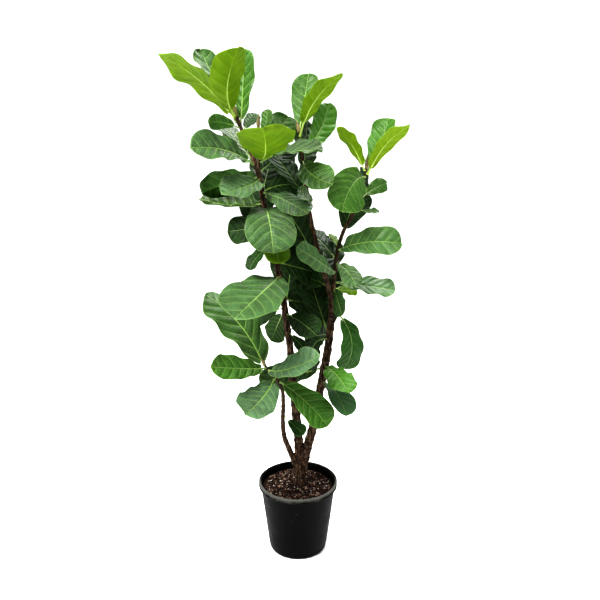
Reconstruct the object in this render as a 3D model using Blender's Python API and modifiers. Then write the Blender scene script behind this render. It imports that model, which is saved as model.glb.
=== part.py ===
"""Potted fiddle leaf fig: a black grower pot, its potting mix, a forked woody stem and its leaves.

Metres, +Z up. The origin is the centre of the pot's underside, and -Y is the front.
"""
import math

import bmesh
import bpy
from mathutils import Vector

for thing in list(bpy.data.objects):
    bpy.data.objects.remove(thing, do_unlink=True)

# ---------------------------------------------------------------- driving dimensions

POT_HEIGHT = 0.250          # underside to the top of the rim
POT_RADIUS = 0.135          # outside of the rim
BASE_SHARE = 0.73           # radius of the underside as a share of the rim's
POT_WALL = 0.0025           # plastic thickness
RIM_BAND = 0.017            # height of the turned-over band round the rim
RIM_OUT = 0.0055            # how far the band stands out from the wall
DRAIN_HOLES = 8
DRAIN_RADIUS = 0.006

SOIL_DROP = 0.028           # from the rim down to the potting mix at the wall
SOIL_CROWN = 0.008          # how much higher the mix is heaped at the stem

PLANT_HEIGHT = 1.260        # potting mix to the tip of the tallest shoot
STEM_GIRTH = 1.0            # thickness of all the wood, as a factor
COLLAR_DEPTH = 0.045        # how far the foot of the stem goes into the mix
LEAF_THICKNESS = 0.003      # at the midrib, the margins run out thin
STALK_RADIUS = 0.0026       # of a leaf stalk

REST_GAP = 0.0004           # clearance between pieces that touch
LEAF_GAP = 0.0006           # clearance between a leaf stalk and the wood
POT_STEPS = 48

# ---------------------------------------------------------------- derived sizes

GROWTH = PLANT_HEIGHT / 1.260
BASE_RADIUS = POT_RADIUS * BASE_SHARE
WALL_TOP = POT_RADIUS - RIM_OUT
FLOOR = POT_WALL * 1.4
SOIL_LEVEL = POT_HEIGHT - SOIL_DROP
SOIL_TOP = SOIL_LEVEL + SOIL_CROWN
COLLAR_RADIUS = 0.021 * GROWTH * STEM_GIRTH

parts = bpy.data.collections.new("potted_fiddle_leaf_fig")
cutters = bpy.data.collections.new("cutters")
bpy.context.scene.collection.children.link(parts)
bpy.context.scene.collection.children.link(cutters)


def material(name, colour, roughness):
    """A plain finish: base colour and roughness, no metal."""
    made = bpy.data.materials.new(name)
    made.use_nodes = True
    shader = made.node_tree.nodes["Principled BSDF"]
    shader.inputs["Base Color"].default_value = (*colour, 1.0)
    shader.inputs["Roughness"].default_value = roughness
    shader.inputs["Metallic"].default_value = 0.0
    made.diffuse_color = (*colour, 1.0)
    return made


BLACK_PLASTIC = material("black_plastic", (0.018, 0.018, 0.017), 0.55)
POTTING_MIX = material("potting_mix", (0.035, 0.022, 0.014), 0.95)
BARK = material("bark", (0.105, 0.070, 0.042), 0.85)
OLD_LEAF = material("old_leaf", (0.035, 0.095, 0.022), 0.42)
LEAF = material("leaf", (0.085, 0.190, 0.025), 0.45)
YOUNG_LEAF = material("young_leaf", (0.250, 0.380, 0.020), 0.45)


def make_object(name, mesh, finish, collection=parts):
    made = bpy.data.objects.new(name, mesh)
    collection.objects.link(made)
    if finish is not None:
        mesh.materials.append(finish)
    return made


def make_cutter(name, mesh):
    made = make_object(name, mesh, None, cutters)
    made.hide_render = True
    made.display_type = "WIRE"
    return made


def turned(name, profile, finish, steps=POT_STEPS):
    """A profile of (radius, height) points turned once round Z."""
    mesh = bpy.data.meshes.new(name)
    points = [(radius, 0.0, height) for radius, height in profile]
    edges = [(i, i + 1) for i in range(len(points) - 1)]
    mesh.from_pydata(points, edges, [])
    made = make_object(name, mesh, finish)
    screw = made.modifiers.new("turn", "SCREW")
    screw.axis = "Z"
    screw.angle = 2.0 * math.pi
    screw.steps = steps
    screw.render_steps = steps
    screw.use_merge_vertices = True
    screw.merge_threshold = 0.00005
    screw.use_smooth_shade = True
    return made


def cut(target, cutter):
    boolean = target.modifiers.new("cut_" + cutter.name, "BOOLEAN")
    boolean.operation = "DIFFERENCE"
    boolean.solver = "EXACT"
    boolean.object = cutter


def wall_radius(height):
    """Outside radius of the tapered pot wall at a height."""
    return BASE_RADIUS + (WALL_TOP - BASE_RADIUS) * height / POT_HEIGHT


# ---------------------------------------------------------------- pot

band_low = POT_HEIGHT - RIM_BAND
pot_profile = [
    (0.0, FLOOR),
    (wall_radius(FLOOR) - POT_WALL - 0.004, FLOOR),
    (wall_radius(FLOOR + 0.004) - POT_WALL, FLOOR + 0.004),
    (wall_radius(POT_HEIGHT) - POT_WALL, POT_HEIGHT - 0.0015),
    (wall_radius(POT_HEIGHT) - POT_WALL + 0.0015, POT_HEIGHT),
    (POT_RADIUS - 0.0015, POT_HEIGHT),
    (POT_RADIUS, POT_HEIGHT - 0.0015),
    (POT_RADIUS, band_low + 0.001),
    (POT_RADIUS - 0.001, band_low),
    (POT_RADIUS - 0.002, band_low + 0.001),
    (POT_RADIUS - 0.0022, POT_HEIGHT - POT_WALL),
    (wall_radius(POT_HEIGHT - POT_WALL), POT_HEIGHT - POT_WALL),
    (wall_radius(0.008), 0.008),
    (wall_radius(0.003) - 0.0015, 0.003),
    (BASE_RADIUS - 0.005, 0.0),
    (0.0, 0.0),
]
pot = turned("pot", pot_profile, BLACK_PLASTIC)

drill_mesh = bpy.data.meshes.new("drain_drills")
drills = bmesh.new()
for index in range(DRAIN_HOLES):
    turn = 2.0 * math.pi * (index + 0.5) / DRAIN_HOLES
    made = bmesh.ops.create_cone(
        drills,
        cap_ends=True,
        segments=12,
        radius1=DRAIN_RADIUS,
        radius2=DRAIN_RADIUS,
        depth=FLOOR * 4.0,
    )
    away = BASE_RADIUS * 0.72
    place = Vector((away * math.cos(turn), away * math.sin(turn), FLOOR * 0.5))
    bmesh.ops.translate(drills, verts=made["verts"], vec=place)
drills.to_mesh(drill_mesh)
drills.free()
cut(pot, make_cutter("drain_drills", drill_mesh))

# ---------------------------------------------------------------- potting mix

soil_low = FLOOR + REST_GAP
soil_profile = [
    (0.0, SOIL_TOP),
    (0.040, SOIL_TOP - 0.001),
    (0.075, SOIL_LEVEL + SOIL_CROWN * 0.55),
    (wall_radius(SOIL_LEVEL) - POT_WALL - 0.012, SOIL_LEVEL + SOIL_CROWN * 0.15),
    (wall_radius(SOIL_LEVEL) - POT_WALL - REST_GAP, SOIL_LEVEL - 0.002),
    (wall_radius(soil_low + 0.006) - POT_WALL - REST_GAP, soil_low + 0.006),
    (wall_radius(soil_low) - POT_WALL - 0.0055, soil_low),
    (0.0, soil_low),
]
soil = turned("potting_mix", soil_profile, POTTING_MIX)


def collar(name, extra):
    """The buried foot of the stem, or with extra radius and depth the pocket it stands in."""
    depth = COLLAR_DEPTH * 2.0
    mesh = bpy.data.meshes.new(name)
    shape = bmesh.new()
    made = bmesh.ops.create_cone(
        shape,
        cap_ends=True,
        segments=16,
        radius1=COLLAR_RADIUS * 1.25 + extra,
        radius2=COLLAR_RADIUS + extra,
        depth=depth + extra * 2.0,
    )
    foot = Vector((STEM_FOOT[0] * GROWTH, STEM_FOOT[1] * GROWTH, SOIL_TOP - COLLAR_DEPTH + depth / 2))
    bmesh.ops.translate(shape, verts=made["verts"], vec=foot)
    shape.to_mesh(mesh)
    shape.free()
    return mesh


STEM_FOOT = (0.007, 0.0)
cut(soil, make_cutter("stem_pocket", collar("stem_pocket", REST_GAP)))

# ---------------------------------------------------------------- wood

# Each stem is a list of (x, y, height above the mix, radius) for a plant 1.26 m tall.
STEMS = {
    "low": [
        (0.004, 0.000, 0.045, 0.0120),
        (-0.012, -0.004, 0.100, 0.0105),
        (-0.030, -0.010, 0.150, 0.0095),
        (-0.046, -0.018, 0.200, 0.0085),
        (-0.050, -0.028, 0.265, 0.0075),
        (-0.048, -0.040, 0.330, 0.0070),
        (-0.052, -0.055, 0.390, 0.0065),
        (-0.072, -0.070, 0.430, 0.0060),
        (-0.098, -0.075, 0.465, 0.0050),
        (-0.110, -0.076, 0.490, 0.0020),
    ],
    "tall": [
        (0.007, 0.002, 0.040, 0.0175),
        (0.002, 0.005, 0.175, 0.0160),
        (-0.008, 0.010, 0.285, 0.0150),
        (-0.018, 0.015, 0.395, 0.0130),
        (-0.025, 0.020, 0.495, 0.0120),
        (-0.035, 0.020, 0.575, 0.0115),
        (-0.052, 0.020, 0.705, 0.0105),
        (-0.068, 0.015, 0.790, 0.0100),
        (-0.088, 0.010, 0.885, 0.0095),
        (-0.105, 0.005, 0.975, 0.0090),
        (-0.120, 0.000, 1.070, 0.0080),
        (-0.145, 0.000, 1.145, 0.0070),
        (-0.168, 0.005, 1.200, 0.0060),
        (-0.184, 0.010, 1.240, 0.0055),
        (-0.190, 0.010, 1.260, 0.0020),
    ],
    "side": [
        (-0.118, 0.000, 1.050, 0.0065),
        (-0.119, -0.012, 1.095, 0.0060),
        (-0.114, -0.020, 1.135, 0.0055),
        (-0.115, -0.022, 1.185, 0.0045),
        (-0.118, -0.022, 1.225, 0.0020),
    ],
    "fork": [
        (0.010, 0.000, 0.045, 0.0165),
        (0.034, -0.003, 0.160, 0.0160),
        (0.048, -0.005, 0.215, 0.0155),
        (0.062, 0.000, 0.290, 0.0150),
        (0.075, 0.005, 0.365, 0.0145),
        (0.096, 0.010, 0.485, 0.0140),
        (0.108, 0.012, 0.590, 0.0120),
        (0.112, 0.012, 0.675, 0.0105),
        (0.113, 0.013, 0.700, 0.0060),
    ],
    "middle": [
        (0.112, 0.012, 0.655, 0.0090),
        (0.095, 0.000, 0.725, 0.0085),
        (0.078, -0.010, 0.785, 0.0080),
        (0.062, -0.012, 0.840, 0.0075),
        (0.038, -0.010, 0.945, 0.0070),
        (0.025, -0.010, 1.040, 0.0065),
        (0.013, -0.010, 1.130, 0.0060),
        (0.002, -0.010, 1.210, 0.0020),
    ],
    "right": [
        (0.112, 0.012, 0.655, 0.0080),
        (0.117, 0.020, 0.740, 0.0070),
        (0.126, 0.030, 0.820, 0.0065),
        (0.144, 0.035, 0.885, 0.0060),
        (0.172, 0.035, 0.940, 0.0060),
        (0.196, 0.030, 0.995, 0.0055),
        (0.210, 0.030, 1.055, 0.0050),
        (0.213, 0.030, 1.100, 0.0020),
    ],
}


def stem_at(stem, height):
    """Centre and radius of a stem at a height, a smooth curve through its points."""
    points = STEMS[stem]
    last = len(points) - 2
    index = 0
    while index < last and height > points[index + 1][2]:
        index += 1
    low, high = points[index], points[index + 1]
    before, after = points[max(index - 1, 0)], points[min(index + 2, last + 1)]
    span = high[2] - low[2]
    t = (height - low[2]) / span
    found = []
    for axis in (0, 1, 3):
        slope_low = (high[axis] - before[axis]) / (high[2] - before[2]) * span
        slope_high = (after[axis] - low[axis]) / (after[2] - low[2]) * span
        found.append(
            (2 * t**3 - 3 * t**2 + 1) * low[axis]
            + (t**3 - 2 * t**2 + t) * slope_low
            + (3 * t**2 - 2 * t**3) * high[axis]
            + (t**3 - t**2) * slope_high
        )
    centre = Vector((found[0] * GROWTH, found[1] * GROWTH, SOIL_LEVEL + height * GROWTH))
    return centre, found[2] * GROWTH * STEM_GIRTH


def stem_mesh(stem):
    """One stem as a tapered tube, from a curve with a radius at each point."""
    points = STEMS[stem]
    heights = []
    for low, high in zip(points, points[1:]):
        heights += [low[2], (low[2] + high[2]) / 2]
    heights.append(points[-1][2])
    curve = bpy.data.curves.new(stem, "CURVE")
    curve.dimensions = "3D"
    curve.bevel_depth = 1.0
    curve.bevel_resolution = 3
    curve.use_fill_caps = True
    line = curve.splines.new("POLY")
    line.points.add(len(heights) - 1)
    for point, height in zip(line.points, heights):
        centre, radius = stem_at(stem, height)
        point.co = (*centre, 1.0)
        point.radius = radius
    guide = bpy.data.objects.new(stem + "_line", curve)
    cutters.objects.link(guide)
    bpy.context.view_layer.update()
    mesh = bpy.data.meshes.new_from_object(guide.evaluated_get(bpy.context.evaluated_depsgraph_get()))
    mesh.transform(guide.matrix_world)
    bpy.data.objects.remove(guide, do_unlink=True)
    clean = bmesh.new()
    clean.from_mesh(mesh)
    bmesh.ops.remove_doubles(clean, verts=clean.verts, dist=0.00002)
    bmesh.ops.recalc_face_normals(clean, faces=clean.faces)
    clean.to_mesh(mesh)
    clean.free()
    return mesh


trunk = make_object("trunk", collar("trunk", 0.0), BARK)
for stem in STEMS:
    joined = trunk.modifiers.new("join_" + stem, "BOOLEAN")
    joined.operation = "UNION"
    joined.solver = "EXACT"
    joined.object = make_cutter("stem_" + stem, stem_mesh(stem))

# ---------------------------------------------------------------- leaves


def leaf_path(stem, height, heading, rise, length, stalk, droop, sweep, steps=48):
    """Centre line of a leaf from the stem to its tip, as points with (heading, elevation) angles."""
    centre, radius = stem_at(stem, height)
    turn = math.radians(heading)
    lift = math.radians(rise)
    out = radius + LEAF_GAP + STALK_RADIUS * GROWTH * 1.2 * abs(math.sin(lift))
    place = centre + Vector((math.cos(turn), math.sin(turn), 0.0)) * out
    step = (length + stalk) * GROWTH / steps
    line = [(place.copy(), turn, lift)]
    for index in range(steps):
        part = (index + 0.5) / steps
        turn = math.radians(heading + sweep * part)
        lift = math.radians(rise - droop * part)
        along = Vector((math.cos(lift) * math.cos(turn), math.cos(lift) * math.sin(turn), math.sin(lift)))
        place = place + along * step
        line.append((place.copy(), turn, lift))
    return line


def half_width(t):
    """Outline of the blade, widest past the middle, from t = -1 at its foot to t = 1 at its tip."""
    chord = math.sqrt(max(0.0, 1.0 - abs(t) ** 2.4))
    return chord * (1.0 + 0.30 * t) / 1.13


def leaf(name, stem, height, heading, rise, length, stalk, share, droop, sweep, roll, cup, finish):
    """A leaf with its stalk: a tube flattened into a blade and bent along its centre line.

    share is width over length, roll turns the blade round its midrib, and cup lifts the margins.
    """
    line = leaf_path(stem, height, heading, rise, length, stalk, droop, sweep)
    rings = 11 if length > 0.13 else 8
    shape = bmesh.new()
    bmesh.ops.create_cone(shape, cap_ends=True, segments=8, radius1=1.0, radius2=1.0, depth=1.0)
    uprights = [edge for edge in shape.edges if abs(edge.verts[0].co.z - edge.verts[1].co.z) > 0.5]
    bmesh.ops.subdivide_edges(shape, edges=uprights, cuts=rings - 2, use_grid_fill=True)
    total = length + stalk
    blade_from = stalk / total
    stalk_radius = STALK_RADIUS * GROWTH
    for vert in shape.verts:
        level = round((vert.co.z + 0.5) * (rings - 1))
        across, up = -vert.co.x, vert.co.y
        if level < 2:
            part = blade_from * 0.94 * level
            wide, thick = stalk_radius, stalk_radius
        else:
            t = -math.cos(math.pi * (level - 1.35) / (rings - 2.35))
            part = blade_from + (1.0 - blade_from) * (t + 1.0) / 2
            wide = max(half_width(t) * share * length * GROWTH / 2, stalk_radius * 0.8)
            thick = LEAF_THICKNESS / 2 + (stalk_radius - LEAF_THICKNESS / 2) * max(0.0, -t) ** 3
            if level == rings - 1:
                thick = LEAF_THICKNESS / 4
        spot = part * (len(line) - 1)
        index = min(int(spot), len(line) - 2)
        low, high = line[index], line[index + 1]
        place = low[0].lerp(high[0], spot - index)
        turn = low[1] + (high[1] - low[1]) * (spot - index)
        lift = low[2] + (high[2] - low[2]) * (spot - index)
        ahead = Vector((math.cos(lift) * math.cos(turn), math.cos(lift) * math.sin(turn), math.sin(lift)))
        side = Vector((math.sin(turn), -math.cos(turn), 0.0))
        over = side.cross(ahead)
        lean = math.radians(roll) * min(1.0, part / blade_from)
        tilted = side * math.cos(lean) + over * math.sin(lean)
        above = over * math.cos(lean) - side * math.sin(lean)
        raised = up * thick + cup * wide * across * across
        if level < 2:
            raised = up * thick
        vert.co = place + tilted * (across * wide) + above * raised
    mesh = bpy.data.meshes.new(name)
    shape.to_mesh(mesh)
    shape.free()
    mesh.shade_smooth()
    mesh.set_sharp_from_angle(angle=math.radians(80))
    return make_object(name, mesh, finish)


# name, stem, height, heading, rise, length, stalk, share, droop, sweep, roll, cup, finish
# Heading is 0 to the right, 90 to the back, 180 to the left and 270 to the front, in degrees.
LEAVES = [
    # crown of the tall stem
    ("crown_1", "tall", 1.245, 250, 30, 0.24, 0.04, 0.46, -20, 60, -10, 0.3, YOUNG_LEAF),
    ("crown_2", "tall", 1.220, 70, 80, 0.20, 0.02, 0.50, 0, 0, 20, 0.0, LEAF),
    ("crown_3", "tall", 1.240, 200, 55, 0.26, 0.02, 0.60, 30, -10, -20, -0.1, YOUNG_LEAF),
    ("crown_4", "tall", 1.225, 150, 60, 0.22, 0.04, 0.46, 10, -20, 0, 0.2, LEAF),
    ("crown_5", "tall", 1.210, 210, 25, 0.08, 0.02, 0.65, 30, 0, -70, 0.0, LEAF),
    ("crown_6", "tall", 1.200, 70, 35, 0.08, 0.02, 0.60, 10, -10, -20, 0.0, LEAF),
    # side shoot of the tall stem
    ("side_1", "side", 1.120, 285, 5, 0.24, 0.04, 0.70, -30, -20, 0, 0.3, YOUNG_LEAF),
    ("side_2", "side", 1.150, 70, 15, 0.16, 0.05, 0.60, -20, -10, -40, 0.2, LEAF),
    ("side_3", "tall", 1.100, 230, 35, 0.20, 0.03, 0.52, 40, -20, 50, 0.3, LEAF),
    ("side_4", "tall", 1.115, 125, 35, 0.17, 0.02, 0.70, 0, 20, -10, 0.0, LEAF),
    ("side_5", "side", 1.110, 335, 30, 0.15, 0.05, 0.70, 40, 10, -20, 0.3, LEAF),
    # crown of the middle stem
    ("middle_1", "middle", 1.195, 85, 30, 0.20, 0.05, 0.46, -30, -10, 0, 0.3, LEAF),
    ("middle_2", "middle", 1.185, 290, 60, 0.20, 0.05, 0.42, 30, 40, 10, 0.1, YOUNG_LEAF),
    ("middle_3", "middle", 1.140, 60, 15, 0.19, 0.06, 0.48, -40, 10, -50, 0.0, LEAF),
    ("middle_4", "middle", 1.110, 275, -25, 0.14, 0.02, 0.70, -10, 60, -40, 0.3, LEAF),
    ("middle_5", "middle", 1.030, 55, 50, 0.08, 0.05, 0.75, 70, -10, -40, 0.0, OLD_LEAF),
    ("middle_6", "middle", 1.085, 70, -5, 0.13, 0.02, 0.48, 30, 30, -50, 0.1, OLD_LEAF),
    # crown of the right stem
    ("right_1", "right", 1.080, 205, 70, 0.14, 0.02, 0.50, 30, -10, -20, 0.1, YOUNG_LEAF),
    ("right_2", "right", 1.080, 45, 45, 0.17, 0.02, 0.60, -20, 10, 10, 0.3, LEAF),
    ("right_3", "right", 1.070, 330, 70, 0.18, 0.02, 0.45, 40, 10, 30, 0.0, YOUNG_LEAF),
    ("right_4", "right", 1.06, 246, 12, 0.18, 0.02, 0.76, 80, -10, 60, 0, LEAF),
    ("right_5", "right", 0.990, 55, 25, 0.11, 0.04, 0.50, 20, -10, -60, 0.0, LEAF),
    ("right_6", "right", 0.830, 305, 30, 0.20, 0.02, 0.48, 40, 60, -60, 0.3, LEAF),
    ("right_7", "right", 0.800, 120, 35, 0.18, 0.02, 0.60, 20, 20, 0, 0.0, OLD_LEAF),
    # round the fork
    ("fork_1", "right", 0.760, 255, 25, 0.20, 0.02, 0.42, -10, -50, 60, 0.0, LEAF),
    ("fork_2", "right", 0.785, 295, 10, 0.12, 0.02, 0.55, 60, 0, -20, 0.0, LEAF),
    ("fork_3", "right", 0.725, 345, 0, 0.17, 0.02, 0.62, 10, 10, -20, 0.1, LEAF),
    ("fork_4", "right", 0.705, 275, -5, 0.11, 0.02, 0.65, 40, 10, -70, 0.0, OLD_LEAF),
    # along the tall stem
    ("tall_1", "tall", 1.055, 260, -5, 0.15, 0.02, 0.75, 10, -60, 30, 0.3, LEAF),
    ("tall_2", "tall", 1.06, 130, -5, 0.21, 0.02, 0.5, 20, 40, -60, 0.1, OLD_LEAF),
    ("tall_3", "tall", 0.980, 130, -15, 0.22, 0.03, 0.65, -30, 40, 10, 0.3, LEAF),
    ("tall_4", "tall", 0.960, 275, 25, 0.22, 0.03, 0.72, 100, 10, 0, 0.0, LEAF),
    ("tall_5", "tall", 1.015, 320, -5, 0.16, 0.02, 0.65, 20, 0, -20, 0.0, LEAF),
    ("tall_6", "tall", 0.920, 120, -25, 0.14, 0.02, 0.70, -20, 60, 70, 0.0, OLD_LEAF),
    ("tall_7", "tall", 0.845, 235, 0, 0.10, 0.02, 0.50, 60, -10, 10, 0.2, OLD_LEAF),
    ("tall_8", "tall", 0.875, 280, 10, 0.14, 0.04, 0.60, 50, 0, 0, 0.0, YOUNG_LEAF),
    ("tall_9", "tall", 1.000, 60, -10, 0.14, 0.02, 0.65, 20, 0, -60, 0.2, OLD_LEAF),
    ("tall_10", "tall", 0.745, 255, -2, 0.27, 0.02, 0.74, 20, -20, 10, 0.2, LEAF),
    ("tall_11", "tall", 0.620, 305, 0, 0.14, 0.02, 0.65, 20, 0, -30, 0.2, OLD_LEAF),
    ("tall_12", "tall", 0.625, 105, -40, 0.14, 0.04, 0.62, 20, 20, -60, 0.1, OLD_LEAF),
    ("tall_13", "tall", 0.555, 300, -15, 0.08, 0.02, 0.50, 0, 0, -50, 0.0, OLD_LEAF),
    ("tall_14", "tall", 1.020, 25, 25, 0.13, 0.02, 0.72, 50, 0, -70, -0.1, OLD_LEAF),
    ("tall_15", "tall", 0.790, 35, -20, 0.17, 0.02, 0.66, 0, 0, -70, 0.0, OLD_LEAF),
    ("tall_16", "tall", 0.665, 50, -25, 0.16, 0.02, 0.70, -10, -10, -70, 0.0, OLD_LEAF),
    ("tall_17", "tall", 0.870, 85, 15, 0.20, 0.03, 0.60, 40, 0, 0, 0.2, LEAF),
    ("tall_18", "tall", 1.075, 60, 25, 0.15, 0.03, 0.66, 0, -10, -30, 0.1, OLD_LEAF),
    # the low shoot
    ("low_1", "low", 0.475, 139, 60, 0.28, 0.02, 0.68, 30, 30, 10, 0, LEAF),
    ("low_2", "low", 0.468, 230, 15, 0.19, 0.02, 0.46, 0, -20, 50, 0.2, LEAF),
    ("low_3", "low", 0.460, 300, 15, 0.20, 0.02, 0.50, -20, 50, -40, 0.3, LEAF),
    ("low_4", "low", 0.43, 250, -22, 0.18, 0.02, 0.7, -20, -10, 20, 0.2, LEAF),
    ("low_5", "low", 0.415, 340, -26, 0.185, 0.02, 0.58, 20, -10, -30, 0.3, LEAF),
    ("low_6", "low", 0.280, 325, -30, 0.07, 0.02, 0.70, -10, -10, -30, 0.2, OLD_LEAF),
    # the right-hand stem below the fork
    ("lower_1", "fork", 0.445, 285, 15, 0.17, 0.02, 0.55, 40, 10, -10, 0.0, LEAF),
    ("lower_2", "fork", 0.390, 300, 10, 0.15, 0.02, 0.65, 60, -10, 10, 0.2, OLD_LEAF),
    ("lower_3", "fork", 0.63, 329, -30, 0.18, 0.04, 0.62, 100, 0, -20, 0, OLD_LEAF),
    ("lower_4", "fork", 0.540, 225, 15, 0.14, 0.04, 0.70, 70, 60, 60, 0.0, OLD_LEAF),
    ("lower_5", "fork", 0.545, 90, -15, 0.19, 0.02, 0.60, 10, 50, 60, 0.0, OLD_LEAF),
]
for entry in LEAVES:
    leaf("leaf_" + entry[0], *entry[1:])
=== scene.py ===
import random
from math import atan2, cos, exp, hypot, pi, radians, sin, sqrt

import bpy
from mathutils import Matrix, Vector, kdtree, noise


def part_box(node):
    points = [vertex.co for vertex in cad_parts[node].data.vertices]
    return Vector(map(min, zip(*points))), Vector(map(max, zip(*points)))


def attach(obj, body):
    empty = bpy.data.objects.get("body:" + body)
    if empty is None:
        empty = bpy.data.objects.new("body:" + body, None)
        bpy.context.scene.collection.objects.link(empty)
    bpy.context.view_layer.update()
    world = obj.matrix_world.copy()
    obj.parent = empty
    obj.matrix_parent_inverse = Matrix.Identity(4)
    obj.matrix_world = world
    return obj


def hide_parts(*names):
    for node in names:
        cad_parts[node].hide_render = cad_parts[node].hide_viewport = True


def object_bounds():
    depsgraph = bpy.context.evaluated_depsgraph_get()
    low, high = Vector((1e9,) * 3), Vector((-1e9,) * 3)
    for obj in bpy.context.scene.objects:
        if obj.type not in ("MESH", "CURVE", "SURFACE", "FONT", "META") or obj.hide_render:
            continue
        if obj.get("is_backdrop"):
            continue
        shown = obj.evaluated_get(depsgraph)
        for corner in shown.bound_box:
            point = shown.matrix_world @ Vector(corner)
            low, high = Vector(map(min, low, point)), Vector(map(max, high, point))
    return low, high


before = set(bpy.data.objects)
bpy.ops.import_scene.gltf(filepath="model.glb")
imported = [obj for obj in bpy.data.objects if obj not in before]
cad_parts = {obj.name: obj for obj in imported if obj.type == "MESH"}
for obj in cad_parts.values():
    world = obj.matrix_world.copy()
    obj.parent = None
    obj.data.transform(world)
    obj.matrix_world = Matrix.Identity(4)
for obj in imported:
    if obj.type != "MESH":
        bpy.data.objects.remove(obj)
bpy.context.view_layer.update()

_, POT_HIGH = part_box("pot")
_, MIX_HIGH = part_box("potting_mix")

# ---------------- sizes of the plant

RIM_RADIUS = POT_HIGH.x
RIM_TOP = POT_HIGH.z
WALL_TOP = RIM_RADIUS - 0.0055      # the tapered wall, carried up to the rim
WALL_FOOT = RIM_RADIUS * 0.73       # and down to the floor
WALL = 0.0025
DRAIN_HOLES = 8
DRAIN_RADIUS = 0.006
DRAIN_RING = WALL_FOOT * 0.72       # the circle that the drain holes are on
MIX_LEVEL = RIM_TOP - 0.028         # at the wall
MIX_HEAP = MIX_HIGH.z - MIX_LEVEL   # how much higher it is at the stem
COLLAR = (0.007, 0.022)             # the stem's foot in the mix: its x and the radius kept clear of crumbs
CRUMB_REACH = 0.112                 # radius out to which crumbs lie on the mix

# Side veins of a blade, in shares of its length: its skin and its relief both follow them.
VEINS = 6.5             # on each half
VEIN_START = 0.15       # of a step, before the first one
VEIN_STAGGER = 0.3      # of a step, by which the right half's are ahead
VEIN_SLOPE = 0.45       # how steeply they leave the midrib
VEIN_BEND = 1.5         # and how quickly they bend towards the tip
FAN_SLOPE = 0.5         # how much steeper they are at the foot
FAN_END = 0.6           # where along the blade that has faded out

STALK_RADIUS = 0.0026
BLADE_WALL = 0.0011
LEAF_GAP = 0.0006       # between a stalk and the wood
MIX_GAP = 0.0004        # between the mix and the pot

# Each stem is a list of (x, y, height above the mix, radius). Heights are from the mix at the wall.
STEMS = {
    "low": [
        (0.004, 0.000, 0.045, 0.0120), (-0.012, -0.004, 0.100, 0.0105),
        (-0.030, -0.010, 0.150, 0.0095), (-0.046, -0.018, 0.200, 0.0085),
        (-0.050, -0.028, 0.265, 0.0075), (-0.048, -0.040, 0.330, 0.0070),
        (-0.052, -0.055, 0.390, 0.0065), (-0.072, -0.070, 0.430, 0.0060),
        (-0.098, -0.075, 0.465, 0.0050), (-0.110, -0.076, 0.490, 0.0020),
    ],
    "tall": [
        (0.007, 0.002, 0.040, 0.0175), (0.002, 0.005, 0.175, 0.0160),
        (-0.008, 0.010, 0.285, 0.0150), (-0.018, 0.015, 0.395, 0.0130),
        (-0.025, 0.020, 0.495, 0.0120), (-0.035, 0.020, 0.575, 0.0115),
        (-0.052, 0.020, 0.705, 0.0105), (-0.068, 0.015, 0.790, 0.0100),
        (-0.088, 0.010, 0.885, 0.0095), (-0.105, 0.005, 0.975, 0.0090),
        (-0.120, 0.000, 1.070, 0.0080), (-0.145, 0.000, 1.145, 0.0070),
        (-0.168, 0.005, 1.200, 0.0060), (-0.184, 0.010, 1.240, 0.0055),
        (-0.190, 0.010, 1.260, 0.0020),
    ],
    "side": [
        (-0.118, 0.000, 1.050, 0.0065), (-0.119, -0.012, 1.095, 0.0060),
        (-0.114, -0.020, 1.135, 0.0055), (-0.115, -0.022, 1.185, 0.0045),
        (-0.118, -0.022, 1.225, 0.0020),
    ],
    "fork": [
        (0.010, 0.000, 0.045, 0.0165), (0.034, -0.003, 0.160, 0.0160),
        (0.048, -0.005, 0.215, 0.0155), (0.062, 0.000, 0.290, 0.0150),
        (0.075, 0.005, 0.365, 0.0145), (0.096, 0.010, 0.485, 0.0140),
        (0.108, 0.012, 0.590, 0.0120), (0.112, 0.012, 0.675, 0.0105),
        (0.113, 0.013, 0.700, 0.0060),
    ],
    "middle": [
        (0.112, 0.012, 0.655, 0.0090), (0.095, 0.000, 0.725, 0.0085),
        (0.078, -0.010, 0.785, 0.0080), (0.062, -0.012, 0.840, 0.0075),
        (0.038, -0.010, 0.945, 0.0070), (0.025, -0.010, 1.040, 0.0065),
        (0.013, -0.010, 1.130, 0.0060), (0.002, -0.010, 1.210, 0.0020),
    ],
    "right": [
        (0.112, 0.012, 0.655, 0.0080), (0.117, 0.020, 0.740, 0.0070),
        (0.126, 0.030, 0.820, 0.0065), (0.144, 0.035, 0.885, 0.0060),
        (0.172, 0.035, 0.940, 0.0060), (0.196, 0.030, 0.995, 0.0055),
        (0.210, 0.030, 1.055, 0.0050), (0.213, 0.030, 1.100, 0.0020),
    ],
}

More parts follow.
